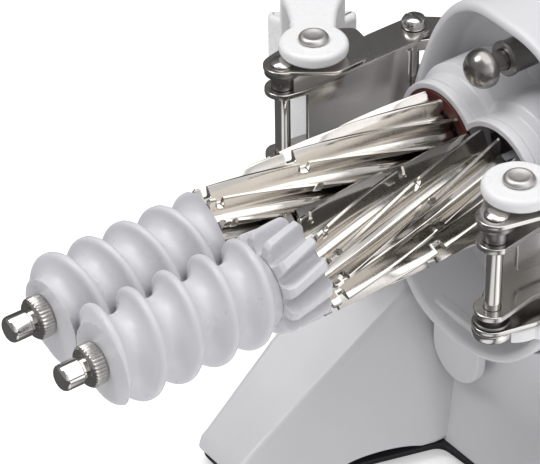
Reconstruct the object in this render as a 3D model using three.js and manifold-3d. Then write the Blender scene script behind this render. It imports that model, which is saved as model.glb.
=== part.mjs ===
// Drive unit of a twin-gear juicer. Millimetres, +Z up.
// The two press gears point forward, along -Y. The gear axes lie in the plane z = 0 while the model
// is built, the gear tips are at y = 0, and the whole group is moved at the end so that its origin
// is the bottom centre of its box.
import * as THREE from 'three';
import { mergeVertices } from 'three/addons/utils/BufferGeometryUtils.js';
import Module from 'manifold-3d';

const wasm = await Module();
wasm.setup();

// ---------- driving dimensions ----------
const GAP = 0.3;                 // clearance between touching pieces
const TABLE_DROP = 178;          // gear axes above the table
const AXIS_X = 20.2;             // half the distance between the two gear axes

// press gears and screws
const GEAR = {
  teeth: 12, tip: 24, root: 16, halfTip: 2.0, halfRoot: 9.2, twist: 0.7, phase: 2, phaseY: 115, groove: 20.6,
};
const WHITE_TOOTH = { halfTip: 2.6, halfRoot: 9.2 };
const GEAR_REAR_Y = 236;
const SCREW = { flight: 24, core: 15.6, pitch: 18.5, halfRoot: 3.3, halfCrest: 1.7, start: 19.2 };
const SCREW_END_Y = 103.7;
const LEFT_STEEL_Y = 104;
const WHITE_GEAR_Y = 104;
const RIGHT_STEEL_Y = 127;
const GROOVES = { left: [[107.2, 110.6], [152.5, 158.5]], right: [[131, 134.4], [184, 188.5]] };
const FLIGHT_Y_FACING = { right: 27.6, left: 36.85 };   // flight centre where the screws face each other
const PIN = { radius: 6, length: 11.5 };
const BUSH = { radius: 9.5, start: 11.8, end: 18.9 };

// front cup and barrel: an upright oval section
const OVAL = { z: -20.5, halfWidth: 64, halfHeight: 87, power: 2.55 };
const RIM = { y: 257, lean: 0.22, wall: 4.5, hood: 15 };   // the hood comes forward at the rim's top right
const LUG = { x: -6, z: -121, radius: 17, front: 240, rear: 246 };
const CUP_FLOOR_Y = 278;
const CUP_REAR_Y = 282;
const BOSS = { radius: 28, front: 237, bore: 25.3, boreDepth: 12, shoulder: 32, shoulderY: 252 };
const BARREL = { front: 282.3, rear: 430, wall: 3.5, grow: 2 };
const REAR_COVER_END = 446;

// base
const FOOT_HEIGHT = 4;
const BASE_BOTTOM = -(TABLE_DROP - FOOT_HEIGHT) + 3.3;
const BASE_WALL = 4;
const WING = { front: 131, nose: 2, splay: 1.4, sections: [131, 182, 225, 238, 250, 291] };

const INLET = { x: -40, z: -123, halfWidth: 15, halfHeight: 12, face: 433.5 };
const SWITCH = { y: 330, z: -119, halfWidth: 11.5, halfHeight: 10, face: 70 };

// drive train
const SHAFT_R = 8;
const DRIVE = { teeth: 18, pitch: 20.2, y: 296, width: 12 };
const IDLER = { x: 7.4, z: -27.5, pinionTeeth: 9, pinionPitch: 10.1, wheelTeeth: 24, wheelPitch: 27 };
const MOTOR = { x: 0, z: -62.7, pinionTeeth: 8, pinionPitch: 9, front: 346, rear: 398 };

// side latches, given for the right side; the left side is the mirror image
const HINGE = { x: 80, y: 271 };
const PIVOT = { x: 76.2, y: 188.2, pin: 3.8, hole: 4.1 };
const RIVET = { x: 72.3, y: 203.8 };
const ARM = { inner: 66.3, outerFront: 81.5, outer: 88, rear: 259, half: 20, sheet: 3 };
const LEVER_DIRECTION = new THREE.Vector2(0.8, 0.6);
const LEVER = { ear: 16.5, waist: 11, strut: 58, paddle: 70, reach: 76, halfWidth: 22 };

const DEG = Math.PI / 180;

// ---------- solids ----------
function toSolid(geometry) {
  const bare = geometry.clone();
  for (const key of Object.keys(bare.attributes)) {
    if (key !== 'position') bare.deleteAttribute(key);
  }
  const merged = mergeVertices(bare, 1e-4);
  return new wasm.Manifold(new wasm.Mesh({
    numProp: 3,
    vertProperties: new Float32Array(merged.attributes.position.array),
    triVerts: new Uint32Array(merged.index.array),
  }));
}

function toGeometry(solid) {
  const mesh = solid.getMesh();
  const geometry = new THREE.BufferGeometry();
  geometry.setAttribute('position', new THREE.BufferAttribute(new Float32Array(mesh.vertProperties), 3));
  geometry.setIndex(new THREE.BufferAttribute(new Uint32Array(mesh.triVerts), 1));
  return geometry;
}

function cut(geometry, ...tools) {
  let solid = toSolid(geometry);
  for (const tool of tools) solid = solid.subtract(toSolid(tool));
  return toGeometry(solid);
}

function join(...geometries) {
  let solid = toSolid(geometries[0]);
  for (const other of geometries.slice(1)) solid = solid.add(toSolid(other));
  return toGeometry(solid);
}

function common(a, b) {
  return toGeometry(toSolid(a).intersect(toSolid(b)));
}

// Closed skin over a list of rings, each an array of Vector3 with the same count.
function loft(rings) {
  const count = rings[0].length;
  const positions = rings.flat().flatMap((p) => [p.x, p.y, p.z]);
  const index = [];
  for (let r = 0; r < rings.length - 1; r++) {
    for (let i = 0; i < count; i++) {
      const a = r * count + i;
      const b = r * count + (i + 1) % count;
      index.push(a, b, a + count, b, b + count, a + count);
    }
  }
  index.push(...capTriangles(rings[0], 0, true));
  index.push(...capTriangles(rings.at(-1), (rings.length - 1) * count, false));
  return outward(positions, index);
}

// Triangles that close a ring, found on the plane where the ring spreads most. They run the same
// way round as the ring, or the other way with the flip.
function capTriangles(ring, offset, flip) {
  const size = new THREE.Box3().setFromPoints(ring).getSize(new THREE.Vector3());
  const points = ring.map((p) => new THREE.Vector2(p.x, size.y < size.z ? p.z : p.y));
  const ringTurn = Math.sign(THREE.ShapeUtils.area(points)) * (flip ? -1 : 1);
  return THREE.ShapeUtils.triangulateShape(points, []).flatMap((t) => {
    const turn = Math.sign(THREE.ShapeUtils.area(t.map((i) => points[i])));
    const own = turn === ringTurn ? t : [t[0], t[2], t[1]];
    return own.map((i) => i + offset);
  });
}

function signedVolume(positions, index) {
  const corner = (i) => new THREE.Vector3().fromArray(positions, i * 3);
  let volume = 0;
  for (let t = 0; t < index.length; t += 3) {
    volume += corner(index[t]).dot(corner(index[t + 1]).cross(corner(index[t + 2])));
  }
  return volume / 6;
}

function outward(positions, index) {
  const turned = signedVolume(positions, index) < 0 ? index.slice().reverse() : index;
  const geometry = new THREE.BufferGeometry();
  geometry.setAttribute('position', new THREE.Float32BufferAttribute(positions, 3));
  geometry.setIndex(turned);
  return geometry;
}

// Turned piece about an axis along Y: pairs of radius and y, from axis to axis.
function turnedY(profile, x = 0, z = 0, sides = 24) {
  const points = profile.map(([r, y]) => new THREE.Vector2(r, y));
  const geometry = new THREE.LatheGeometry(points, sides);
  geometry.translate(x, 0, z);
  return fixFacing(geometry);
}

// Turned piece about a vertical axis: pairs of radius and z.
function turnedZ(profile, x, y, sides = 24) {
  const points = profile.map(([r, z]) => new THREE.Vector2(r, z));
  const geometry = new THREE.LatheGeometry(points, sides);
  geometry.rotateX(Math.PI / 2);
  geometry.translate(x, y, 0);
  return fixFacing(geometry);
}

function fixFacing(geometry) {
  for (const key of ['normal', 'uv']) geometry.deleteAttribute(key);
  const merged = mergeVertices(geometry, 1e-4);
  const index = Array.from(merged.index.array);
  const kept = [];
  for (let t = 0; t < index.length; t += 3) {
    const [a, b, c] = index.slice(t, t + 3);
    if (a !== b && b !== c && a !== c) kept.push(a, b, c);
  }
  return outward(Array.from(merged.attributes.position.array), kept);
}

function rodY(radius, y0, y1, x = 0, z = 0, sides = 24) {
  return turnedY([[0, y0], [radius, y0], [radius, y1], [0, y1]], x, z, sides);
}

function rodZ(radius, z0, z1, x, y, sides = 24) {
  return turnedZ([[0, z0], [radius, z0], [radius, z1], [0, z1]], x, y, sides);
}

function ringY(inner, outer, y0, y1, x = 0, z = 0, sides = 24) {
  return turnedY([[inner, y0], [outer, y0], [outer, y1], [inner, y1], [inner, y0]], x, z, sides);
}

function ringZ(inner, outer, z0, z1, x, y, sides = 24) {
  return turnedZ([[inner, z0], [outer, z0], [outer, z1], [inner, z1], [inner, z0]], x, y, sides);
}

function block(x0, x1, y0, y1, z0, z1) {
  const geometry = new THREE.BoxGeometry(x1 - x0, y1 - y0, z1 - z0);
  geometry.translate((x0 + x1) / 2, (y0 + y1) / 2, (z0 + z1) / 2);
  return geometry;
}

// Sheet of an outline in the XY plane between two heights.
function sheetZ(outline, z0, z1) {
  const shape = outline instanceof THREE.Shape ? outline : new THREE.Shape(outline);
  const geometry = new THREE.ExtrudeGeometry(shape, { depth: z1 - z0, bevelEnabled: false, curveSegments: 8 });
  geometry.translate(0, 0, z0);
  return geometry;
}

// Sheet of an outline in the XZ plane between two y values.
function sheetY(outline, y0, y1) {
  const geometry = new THREE.ExtrudeGeometry(new THREE.Shape(outline), { depth: y1 - y0, bevelEnabled: false });
  geometry.rotateX(Math.PI / 2);
  geometry.translate(0, y1, 0);
  return fixFacing(geometry);
}

function arc(cx, cy, radius, from, to, steps) {
  const points = [];
  for (let i = 0; i <= steps; i++) {
    const angle = (from + (to - from) * i / steps) * DEG;
    points.push(new THREE.Vector2(cx + radius * Math.cos(angle), cy + radius * Math.sin(angle)));
  }
  return points;
}

// ---------- gears ----------
// Angles of a gear's outline are measured from +Z towards +X.
function gearRing(spec, y, phase, tip = spec.tip) {
  const ring = [];
  for (let k = 0; k < spec.teeth; k++) {
    const centre = 360 * k / spec.teeth + phase;
    const flank = [[spec.root, spec.halfRoot], [tip, spec.halfTip]];
    const corners = [...flank.map(([radius, angle]) => [radius, -angle]), ...flank.reverse()];
    for (const [radius, angle] of corners) {
      const a = (centre + angle) * DEG;
      ring.push(new THREE.Vector3(radius * Math.sin(a), y, radius * Math.cos(a)));
    }
  }
  return ring;
}

// Twisted press gear. A groove is a stretch whose teeth are cut down to a smaller tip.
function pressGear(spec, side, y0, y1, grooves, slices) {
  const hand = side > 0 ? -1 : 1;
  const offset = side > 0 ? spec.phase : 180 / spec.teeth - spec.phase;
  const phase = (y) => offset + hand * spec.twist * (y - spec.phaseY);
  const rings = [];
  for (let i = 0; i <= slices; i++) {
    const y = y0 + (y1 - y0) * i / slices;
    if (!grooves.some(([from, to]) => y >= from && y <= to)) rings.push(gearRing(spec, y, phase(y)));
  }
  for (const [from, to] of grooves) {
    for (const [y, tip] of [[from, spec.tip], [from, spec.groove], [to, spec.groove], [to, spec.tip]]) {
      rings.push(gearRing(spec, y, phase(y), tip));
    }
  }
  rings.sort((a, b) => a[0].y - b[0].y);
  const geometry = loft(rings);
  geometry.translate(side * AXIS_X, 0, 0);
  return geometry;
}

// Straight-toothed gear about an axis along Y, with a bore.
function spurGear(teeth, pitch, y0, y1, x, z, phase, bore) {
  const module = 2 * pitch / teeth;
  const spec = {
    teeth, tip: pitch + 0.9 * module, root: pitch - 1.2 * module,
    halfTip: 34 / teeth, halfRoot: 108 / teeth,
  };
  const body = loft([gearRing(spec, y0, phase), gearRing(spec, y1, phase)]);
  body.translate(x, 0, z);
  return bore ? cut(body, rodY(bore, y0 - 1, y1 + 1, x, z, 16)) : body;
}

// ---------- screws ----------
function screwFlight(side, y0, y1) {
  const step = 24;
  const hand = side > 0 ? -1 : 1;
  const facing = side > 0 ? FLIGHT_Y_FACING.right : FLIGHT_Y_FACING.left;
  const facingAngle = -90 * side;
  const centreAt = (angle) => facing + hand * SCREW.pitch * (angle - facingAngle) / 360;
  const turns = (y1 - y0) / SCREW.pitch + 1;
  const firstAngle = facingAngle + hand * 360 * (y0 - SCREW.pitch / 2 - facing) / SCREW.pitch;
  const rings = [];
  for (let i = 0; i <= Math.ceil(turns * 360 / step); i++) {
    const angle = firstAngle + hand * step * i;
    const y = centreAt(angle);
    const at = (r, dy) => new THREE.Vector3(r * Math.sin(angle * DEG), y + dy, r * Math.cos(angle * DEG));
    rings.push([
      at(SCREW.core - 2, -SCREW.halfRoot), at(SCREW.flight, -SCREW.halfCrest),
      at(SCREW.flight, SCREW.halfCrest), at(SCREW.core - 2, SCREW.halfRoot),
    ]);
  }
  return sweepSkin(rings);
}

// Closed skin over four-cornered sections along a helix.
function sweepSkin(rings) {
  const index = [];
  const last = (rings.length - 1) * 4;
  for (let r = 0; r < rings.length - 1; r++) {
    for (let i = 0; i < 4; i++) {
      const a = r * 4 + i;
      const b = r * 4 + (i + 1) % 4;
      index.push(a, b, a + 4, b, b + 4, a + 4);
    }
  }
  index.push(0, 2, 1, 0, 3, 2, last, last + 1, last + 2, last, last + 2, last + 3);
  return outward(rings.flat().flatMap((p) => [p.x, p.y, p.z]), index);
}

function screw(side, y1) {
  const core = rodY(SCREW.core, SCREW.start, y1, 0, 0, 20);
  const whole = join(core, screwFlight(side, SCREW.start, y1));
  const reach = SCREW.flight + 5;
  const trimmed = common(whole, block(-reach, reach, SCREW.start, y1, -reach, reach));
  trimmed.translate(side * AXIS_X, 0, 0);
  return trimmed;
}

function tipPin(side) {
  const r = PIN.radius;
  return turnedY([[0, 0], [r - 3, 0], [r - 1, 1], [r, 3], [r, 8], [r - 1, 8.6], [r - 1, PIN.length], [0, PIN.length]],
    side * AXIS_X, 0, 16);
}

function bushing(side) {
  const { radius, start, end } = BUSH;
  return turnedY([[0, start], [radius - 0.7, start], [radius, start + 0.7], [radius, end], [0, end]],
    side * AXIS_X, 0, 20);
}

// ---------- oval housing ----------
function ovalRing(grow, yAt, sides = 32) {
  const a = OVAL.halfWidth + grow;
  const b = OVAL.halfHeight + grow;
  const ring = [];
  for (let i = 0; i < sides; i++) {
    const t = 2 * Math.PI * i / sides;
    const c = Math.cos(t);
    const s = Math.sin(t);
    const x = a * Math.sign(c) * Math.abs(c) ** (2 / OVAL.power);
    const z = OVAL.z + b * Math.sign(s) * Math.abs(s) ** (2 / OVAL.power);
    ring.push(new THREE.Vector3(x, yAt(x, z), z));
  }
  return ring;
}

function ovalBody(grow, y0, y1) {
  return loft([ovalRing(grow, () => y0), ovalRing(grow, () => y1)]);
}

const rimY = (x, z) => RIM.y + RIM.lean * z
  - RIM.hood * THREE.MathUtils.smoothstep(x, -80, 5) * THREE.MathUtils.smoothstep(z, -5, 50);

function lugOutline(grow) {
  const half = LUG.radius + grow;
  return [new THREE.Vector2(LUG.x + half, -98), new THREE.Vector2(LUG.x - half, -98),
    ...arc(LUG.x, LUG.z, half, 180, 360, 10)];
}

function frontCup() {
  const outer = loft([ovalRing(0, rimY), ovalRing(0, () => CUP_REAR_Y)]);
  const recess = loft([ovalRing(-RIM.wall, (x, z) => rimY(x, z) - 2), ovalRing(-RIM.wall - 3, () => CUP_FLOOR_Y)]);
  let cup = join(cut(outer, recess), sheetY(lugOutline(0), LUG.front, LUG.rear));
  for (const side of [-1, 1]) {
    const x = side * AXIS_X;
    cup = join(cup, rodY(BOSS.radius, BOSS.front, CUP_REAR_Y - 1, x, 0, 24));
    cup = join(cup, rodY(BOSS.shoulder, BOSS.shoulderY, CUP_REAR_Y - 1, x, 0, 24));
  }
  const holes = [rodY(5.3, 260, 290, 0, 46, 16)];
  for (const side of [-1, 1]) {
    holes.push(rodY(BOSS.bore, BOSS.front - 1, BOSS.front + BOSS.boreDepth, side * AXIS_X, 0, 24));
    holes.push(rodY(SHAFT_R + GAP, 230, 290, side * AXIS_X, 0, 16));
  }
  return cut(cup, ...holes);
}

// Gasket ring behind the left press gear.
function gearSeal() {
  return ringY(18, BOSS.bore - GAP, 236.5, 240, -AXIS_X, 0, 24);
}

function barrelShell() {
  const outer = ovalBody(BARREL.grow, BARREL.front, BARREL.rear);
  const inner = ovalBody(BARREL.grow - BARREL.wall, BARREL.front - 1, BARREL.rear + 1);
  return cut(outer, inner);
}

function rearCover() {
  const start = BARREL.rear + GAP;
  const end = REAR_COVER_END;
  const outer = loft([
    ovalRing(BARREL.grow, () => start), ovalRing(BARREL.grow, () => end - 6), ovalRing(BARREL.grow - 6, () => end),
  ]);
  const inner = ovalBody(BARREL.grow - 8, start - 1, end - 4);
  const slots = [];
  for (let i = 0; i < 7; i++) {
    const z = OVAL.z - 36 + 12 * i;
    slots.push(block(-34, 34, start - 2, end + 2, z, z + 5));
  }
  return cut(outer, inner, ...slots);
}

function carryHandle() {
  const path = new THREE.CatmullRomCurve3([
    new THREE.Vector3(0, 330, 68.8), new THREE.Vector3(0, 332, 84), new THREE.Vector3(0, 344, 98),
    new THREE.Vector3(0, 374, 102), new THREE.Vector3(0, 404, 98), new THREE.Vector3(0, 416, 84),
    new THREE.Vector3(0, 418, 68.8),
  ]);
  const section = new THREE.Shape(arc(0, 0, 1, 0, 324, 9).map((p) => new THREE.Vector2(p.x * 13, p.y * 7)));
  const grip = new THREE.ExtrudeGeometry(section, { steps: 12, extrudePath: path, bevelEnabled: false });
  return cut(grip, ovalBody(BARREL.grow + GAP, 300, 440));
}

// ---------- base ----------
function roundedRing(halfX, yFront, yRear, radius, z) {
  const corners = [[halfX, yRear, 0], [-halfX, yRear, 90], [-halfX, yFront, 180], [halfX, yFront, 270]];
  const ring = [];
  for (const [x, y, from] of corners) {
    const cx = x - Math.sign(x) * radius;
    const cy = y + (y === yRear ? -radius : radius);
    for (const p of arc(cx, cy, radius, from, from + 90, 4)) ring.push(new THREE.Vector3(p.x, p.y, z));
  }
  return ring;
}

function column(inset, bottom) {
  const level = (halfX, yFront, yRear, z) =>
    roundedRing(halfX - inset, yFront + inset, yRear - inset, 24 - inset, z);
  return loft([
    level(80, 232, 440, bottom), level(72, 250, 434, -140), level(64, 254, 428, -100), level(58, 256, 424, -60),
  ]);
}

// Value at a position along a broken line of [position, value] stops.
function along(position, stops) {
  const i = Math.max(1, stops.findIndex(([end]) => position <= end));
  const [[p0, v0], [p1, v1]] = stops.slice(i - 1, i + 1);
  return v0 + (v1 - v0) * (position - p0) / (p1 - p0);
}

// Forward foot on the left: a ramp that widens to the rear, with an inner wall that leans out to the ground.
function wing(inset, bottom) {
  return loft(WING.sections.map((y, i) => {
    const outerX = along(y, [[131, -72], [182, -78.5], [225, -78.5], [291, -66]]) + inset;
    const outerZ = along(y, [[131, -163], [235, -91], [250, -88], [291, -88]]) - inset;
    const innerX = along(y, [[131, -39], [238, -37], [291, -37]]) - inset;
    const innerZ = along(y, [[131, -163], [238, -98], [250, -96], [291, -96]]) - inset;
    const lowX = along(y, [[131, -26], [228, -1], [291, -1]]) - inset;
    const topY = y + (i === 0 ? inset : 0);
    const lowY = topY - (i === 0 ? WING.nose : 0);
    return [
      new THREE.Vector3(outerX - WING.splay, lowY, bottom), new THREE.Vector3(outerX, topY, outerZ),
      new THREE.Vector3(innerX, topY, innerZ), new THREE.Vector3(lowX, lowY, bottom),
    ];
  }));
}

function footArch() {
  const arch = new THREE.CylinderGeometry(24, 24, 60, 24);
  arch.rotateZ(Math.PI / 2);
  arch.scale(1, 1, 0.42);
  arch.translate(0, 190, BASE_BOTTOM - 1);
  return arch;
}

function baseShell() {
  const outer = join(column(0, BASE_BOTTOM), wing(0, BASE_BOTTOM));
  const hollow = join(column(BASE_WALL, BASE_BOTTOM - 1), wing(BASE_WALL, BASE_BOTTOM - 1));
  const clearance = loft([ovalRing(BARREL.grow + GAP, (x, z) => rimY(x, z) - 1), ovalRing(BARREL.grow + GAP, () => 470)]);
  const lugRoom = sheetY(lugOutline(GAP), LUG.front - 0.5, LUG.rear + 0.5);
  const inletHole = block(INLET.x - INLET.halfWidth - GAP, INLET.x + INLET.halfWidth + GAP, 410, 450,
    INLET.z - INLET.halfHeight - GAP, INLET.z + INLET.halfHeight + GAP);
  const switchHole = block(50, 90, SWITCH.y - SWITCH.halfWidth - GAP, SWITCH.y + SWITCH.halfWidth + GAP,
    SWITCH.z - SWITCH.halfHeight - GAP, SWITCH.z + SWITCH.halfHeight + GAP);
  return cut(outer, hollow, clearance, lugRoom, footArch(), inletHole, switchHole);
}

function basePlate() {
  const outline = [
    new THREE.Vector2(-73, WING.front), new THREE.Vector2(-27, WING.front), new THREE.Vector2(-2, 229),
    new THREE.Vector2(60, 233), new THREE.Vector2(79, 252), new THREE.Vector2(79, 420), new THREE.Vector2(60, 439),
    new THREE.Vector2(-60, 439), new THREE.Vector2(-79, 420), new THREE.Vector2(-79, 262),
  ];
  return sheetZ(outline, BASE_BOTTOM - GAP - 3, BASE_BOTTOM - GAP);
}

function foot(x, y) {
  return turnedZ([[0, -TABLE_DROP], [8, -TABLE_DROP], [9, -TABLE_DROP + 1], [9, -TABLE_DROP + FOOT_HEIGHT - GAP],
    [0, -TABLE_DROP + FOOT_HEIGHT - GAP]], x, y, 20);
}

// ---------- mains inlet and switch, let into the base ----------
function powerInlet() {
  const { x, z, halfWidth, halfHeight, face } = INLET;
  const frame = (inset, y0, y1) =>
    block(x - halfWidth + inset, x + halfWidth - inset, y0, y1, z - halfHeight + inset, z + halfHeight - inset);
  return cut(frame(0, face - 18, face), frame(3.5, face - 14, face + 2));
}

function switchBezel() {
  const { y, z, halfWidth, halfHeight, face } = SWITCH;
  const frame = (inset, x0, x1) =>
    block(x0, x1, y - halfWidth + inset, y + halfWidth - inset, z - halfHeight + inset, z + halfHeight - inset);
  return cut(frame(0, face - 16, face), frame(3, face - 13, face + 2));
}

function switchRocker() {
  const { y, z, face } = SWITCH;
  const half = 6.5;
  const outline = [
    [face - 8, y - half], [face + 1.5, y - half], [face - 0.5, y], [face - 0.2, y + half], [face - 8, y + half],
  ].map(([px, py]) => new THREE.Vector2(px, py));
  return sheetZ(outline, z - half, z + half);
}

// ---------- stud above the gears ----------
function lockingStud() {
  return turnedY([[0, 237], [6.5, 237], [9.2, 239], [9.8, 243], [9.2, 248], [7, 250], [5, 250.3], [5, 286.5], [0, 286.5]],
    0, 46, 16);
}

function studCollar() {
  return turnedY([[5.3, 262], [7.5, 262], [8.2, 263], [8.2, CUP_FLOOR_Y - GAP], [5.3, CUP_FLOOR_Y - GAP], [5.3, 262]],
    0, 46, 16);
}

// ---------- motor and gearbox ----------
function gearboxCase() {
  const outer = ovalBody(-9, 293.3, 336);
  const inner = ovalBody(-12, 292, 333);
  const shaftHole = rodY(12, 330, 340, MOTOR.x, MOTOR.z, 20);
  return cut(outer, inner, shaftHole);
}

function gearboxCover() {
  const plate = ovalBody(-9, 287, 293);
  return cut(plate, rodY(14.3, 286, 294, -AXIS_X, 0, 20), rodY(14.3, 286, 294, AXIS_X, 0, 20));
}

function outputShaft(side) {
  return turnedY([[0, 225], [SHAFT_R - 1, 225], [SHAFT_R - 1, 236.3], [SHAFT_R, 237], [SHAFT_R, 314], [0, 314]],
    side * AXIS_X, 0, 16);
}

function driveGear(side) {
  return spurGear(DRIVE.teeth, DRIVE.pitch, DRIVE.y, DRIVE.y + DRIVE.width, side * AXIS_X, 0,
    side > 0 ? 0 : 180 / DRIVE.teeth, SHAFT_R + GAP);
}

// Phase that puts a gap of the second gear against a tooth of the first, for a tooth of the
// first gear at firstPhase and the second gear's centre in the direction dx, dz.
function meshPhase(teethA, phaseA, teethB, dx, dz) {
  const towards = Math.atan2(dx, dz) / DEG;
  const offTooth = (towards - phaseA) / (360 / teethA);
  const fraction = offTooth - Math.round(offTooth);
  return towards + 180 + (fraction * 360 + 180) / teethB;
}

const idlerPhase = meshPhase(DRIVE.teeth, 0, IDLER.pinionTeeth, IDLER.x - AXIS_X, IDLER.z);
const motorPhase = meshPhase(IDLER.wheelTeeth, idlerPhase, MOTOR.pinionTeeth, MOTOR.x - IDLER.x, MOTOR.z - IDLER.z);

function idlerGear() {
  const pinion = spurGear(IDLER.pinionTeeth, IDLER.pinionPitch, DRIVE.y, 311, IDLER.x, IDLER.z, idlerPhase, 0);
  const wheel = spurGear(IDLER.wheelTeeth, IDLER.wheelPitch, 318, 328, IDLER.x, IDLER.z, idlerPhase, 0);
  const hub = rodY(7, 310, 319, IDLER.x, IDLER.z, 20);
  return cut(join(pinion, hub, wheel), rodY(4.3, 290, 332, IDLER.x, IDLER.z, 16));
}

function motorRotor() {
  const shaft = turnedY([[0, 312], [4, 312], [4, 346], [21, 350], [21, 394], [4, 398], [4, 424], [0, 424]],
    MOTOR.x, MOTOR.z, 16);
  return join(shaft, spurGear(MOTOR.pinionTeeth, MOTOR.pinionPitch, 317, 329, MOTOR.x, MOTOR.z, motorPhase, 0));
}

function motorStator() {
  return ringY(21.8, 36, MOTOR.front + 6, MOTOR.rear - 6, MOTOR.x, MOTOR.z, 24);
}

function coolingFan() {
  const outline = [];
  const blades = 9;
  for (let k = 0; k < blades; k++) {
    const a = 360 * k / blades;
    outline.push(...arc(0, 0, 9, a - 20, a - 9, 1), ...arc(0, 0, 31, a - 4, a + 8, 1), ...arc(0, 0, 9, a + 5, a + 12, 1));
  }
  const fan = sheetY(outline, 404, 412);
  fan.translate(MOTOR.x, 0, MOTOR.z);
  return cut(fan, rodY(4.3, 400, 416, MOTOR.x, MOTOR.z, 16));
}

// ---------- side latches, right-hand side ----------
function latchBracket() {
  const lug = (z0, z1) => sheetZ([
    new THREE.Vector2(70, 300), new THREE.Vector2(67.8, 300), new THREE.Vector2(67.8, 276),
    ...arc(HINGE.x, HINGE.y, 8.5, 200, 360, 8), new THREE.Vector2(88.5, 284), new THREE.Vector2(76, 298),
  ], z0, z1);
  const foot = block(66.4, 70.4, 284, 316, -26, 26);
  const hole = rodZ(3.3, -30, 30, HINGE.x, HINGE.y, 12);
  return cut(join(foot, lug(10.5, 16.6), lug(-16.6, -10.5)), hole, ovalBody(BARREL.grow + GAP, 280, 320));
}

function hingePin() {
  return turnedZ([[0, -23], [5, -23], [5, -20.4], [3, -20.4], [3, 20.4], [6, 20.4], [6, 24], [4.5, 25.5], [0, 25.5]],
    HINGE.x, HINGE.y, 12);
}

function armFlange(z0, z1) {
  return sheetZ([
    ...arc(PIVOT.x, PIVOT.y, 8.5, 200, 350, 8), new THREE.Vector2(ARM.outerFront, 208), new THREE.Vector2(ARM.outer, 250),
    ...arc(HINGE.x, HINGE.y, 8.5, -10, 190, 8), new THREE.Vector2(ARM.inner, 262), new THREE.Vector2(ARM.inner, 196),
  ], z0, z1);
}

function latchArm() {
  const { half, sheet, inner, rear } = ARM;
  const web = block(inner, inner + 2.2, 196, rear, -half, half);
  const holes = [rodZ(PIVOT.hole, -30, 30, PIVOT.x, PIVOT.y, 12), rodZ(3.3, -30, 30, HINGE.x, HINGE.y, 12)];
  return cut(join(armFlange(half - sheet, half), armFlange(-half, sheet - half), web), ...holes);
}

function pivotPin() {
  const r = PIVOT.pin;
  return turnedZ([[0, -32], [8, -32], [9, -31], [9, -27.6], [r, -27.6], [r, 32.8], [5.6, 32.8],
    [5.4, 33.6], [3.4, 34.4], [0, 34.5]], PIVOT.x, PIVOT.y, 12);
}

function spacer(z0, z1) {
  return ringZ(PIVOT.hole, 7.2, z0, z1, PIVOT.x, PIVOT.y, 12);
}

function linkPlate(z0, z1) {
  const outline = [
    ...arc(PIVOT.x, PIVOT.y, 9, 190, 350, 8), new THREE.Vector2(89, 203), new THREE.Vector2(90, 222),
    new THREE.Vector2(80, 235), new THREE.Vector2(64, 232), new THREE.Vector2(55, 221), new THREE.Vector2(54, 204),
  ];
  return cut(sheetZ(outline, z0, z1), rodZ(PIVOT.hole, z0 - 1, z1 + 1, PIVOT.x, PIVOT.y, 12),
    rodZ(3.8, z0 - 1, z1 + 1, RIVET.x, RIVET.y, 12));
}

// Point at a distance along the lever and across it.
function onLever(along, across) {
  const d = LEVER_DIRECTION;
  return new THREE.Vector2(RIVET.x + d.x * along - d.y * across, RIVET.y + d.y * along + d.x * across);
}

function leverEar(z0, z1) {
  const heading = Math.atan2(LEVER_DIRECTION.y, LEVER_DIRECTION.x) / DEG;
  const { ear, waist, strut } = LEVER;
  return sheetZ([
    ...arc(RIVET.x, RIVET.y, ear, heading + 50, heading + 310, 14),
    onLever(20, -waist), onLever(34, -waist - 2), onLever(48, -waist - 5), onLever(strut + 6, -waist - 5),
    onLever(strut + 6, waist + 5), onLever(48, waist + 5), onLever(34, waist + 2), onLever(20, waist),
  ], z0, z1);
}

function lever() {
  const { strut, paddle, reach, halfWidth, waist } = LEVER;
  const across = (a0, a1, w) => [onLever(a0, -w), onLever(a1, -w), onLever(a1, w), onLever(a0, w)];
  const strutWall = sheetZ(across(strut, strut + 6, waist + 5), -35, 41.5);
  const paddleWall = sheetZ([
    onLever(strut + 3, -waist), onLever(paddle, -halfWidth), onLever(reach, -halfWidth),
    onLever(reach, halfWidth), onLever(paddle, halfWidth), onLever(strut + 3, waist),
  ], -24, 12);
  const body = join(leverEar(34.8, 41.5), leverEar(-35, -27.5), strutWall, paddleWall);
  return cut(body, rodZ(3.8, -40, 50, RIVET.x, RIVET.y, 12), rodZ(9.5, -36, 0, PIVOT.x, PIVOT.y, 16));
}

function leverRivet() {
  return turnedZ([[0, 28], [3.5, 28], [3.5, 41.8], [7, 41.8], [7, 43.4], [5.6, 44.6], [3, 45], [0, 44.6]],
    RIVET.x, RIVET.y, 16);
}

// ---------- assembly ----------
const FINISH = {
  white: { color: 0xe9ebee, roughness: 0.45, metalness: 0 },
  screw: { color: 0xf3f5f8, roughness: 0.35, metalness: 0 },
  steel: { color: 0xb9b4ac, roughness: 0.28, metalness: 1 },
  polished: { color: 0xcfcac2, roughness: 0.12, metalness: 1 },
  lever: { color: 0xf0f0ee, roughness: 0.4, metalness: 0 },
  seal: { color: 0x8c1a0e, roughness: 0.5, metalness: 0 },
  rubber: { color: 0x17181a, roughness: 0.8, metalness: 0 },
  dark: { color: 0x2c2e31, roughness: 0.6, metalness: 0 },
};

const model = new THREE.Group();

function add(name, geometry, finish) {
  const mesh = new THREE.Mesh(geometry, new THREE.MeshStandardMaterial(FINISH[finish]));
  mesh.name = name;
  model.add(mesh);
}

function mirrored(geometry, side) {
  if (side > 0) return geometry;
  const copy = geometry.clone();
  copy.scale(-1, 1, 1);
  return fixFacing(copy);
}

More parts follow.
